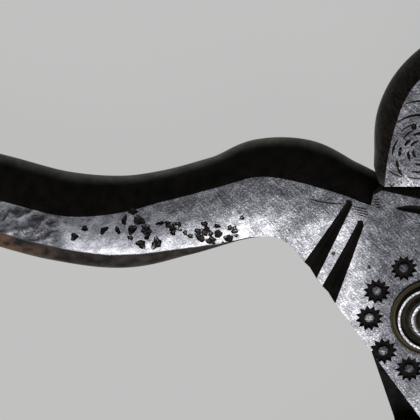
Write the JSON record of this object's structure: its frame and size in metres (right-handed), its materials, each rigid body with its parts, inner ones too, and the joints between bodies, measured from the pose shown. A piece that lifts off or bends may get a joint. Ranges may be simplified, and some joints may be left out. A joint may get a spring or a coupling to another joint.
{
  "type": "sugar nippers",
  "caption": "Steel sugar nippers: two crossed levers with lapped joint plates, a ringed pivot, claw jaws with wide blades, a leaf spring and a catch loop.",
  "frame": {"origin": "on the pivot axis, at the flat lower end of the rivet", "axes": "+X along the tool's middle line towards the blades, +Z along the pivot out of the decorated joint face"},
  "size_m": [0.2321, 0.1312, 0.0164],
  "materials": {
    "forged_steel": "worn, patinated forged steel, dark in the hollows",
    "turned_steel": "turned steel, worn bright on the ridges",
    "spring_steel": "dark tempered steel"
  },
  "bodies": {
    "under": {"lever_under": "forged_steel", "pivot_rivet": "turned_steel", "rosette_over": "turned_steel", "rosette_under": "turned_steel", "leaf_spring": "spring_steel", "spring_screw": "turned_steel"},
    "over": {"lever_over": "forged_steel", "catch_pin": "turned_steel"},
    "catch": {"catch_loop": "spring_steel"}
  },
  "joints": [
    {"name": "nip_pivot", "type": "hinge", "parent": "under", "child": "over", "pos_m": [0, 0, 0], "axis": [0, 0, 1], "range_deg": [0, 34], "stiffness_Nm_per_rad": 0.4, "springref_deg": -17.19, "deforming": ["leaf_spring"]},
    {"name": "catch_swing", "type": "hinge", "parent": "over", "child": "catch", "pos_m": [-0.16424, 0.05853, 0.0047], "axis": [0, 0, 1], "range_deg": [0, 90]}
  ]
}
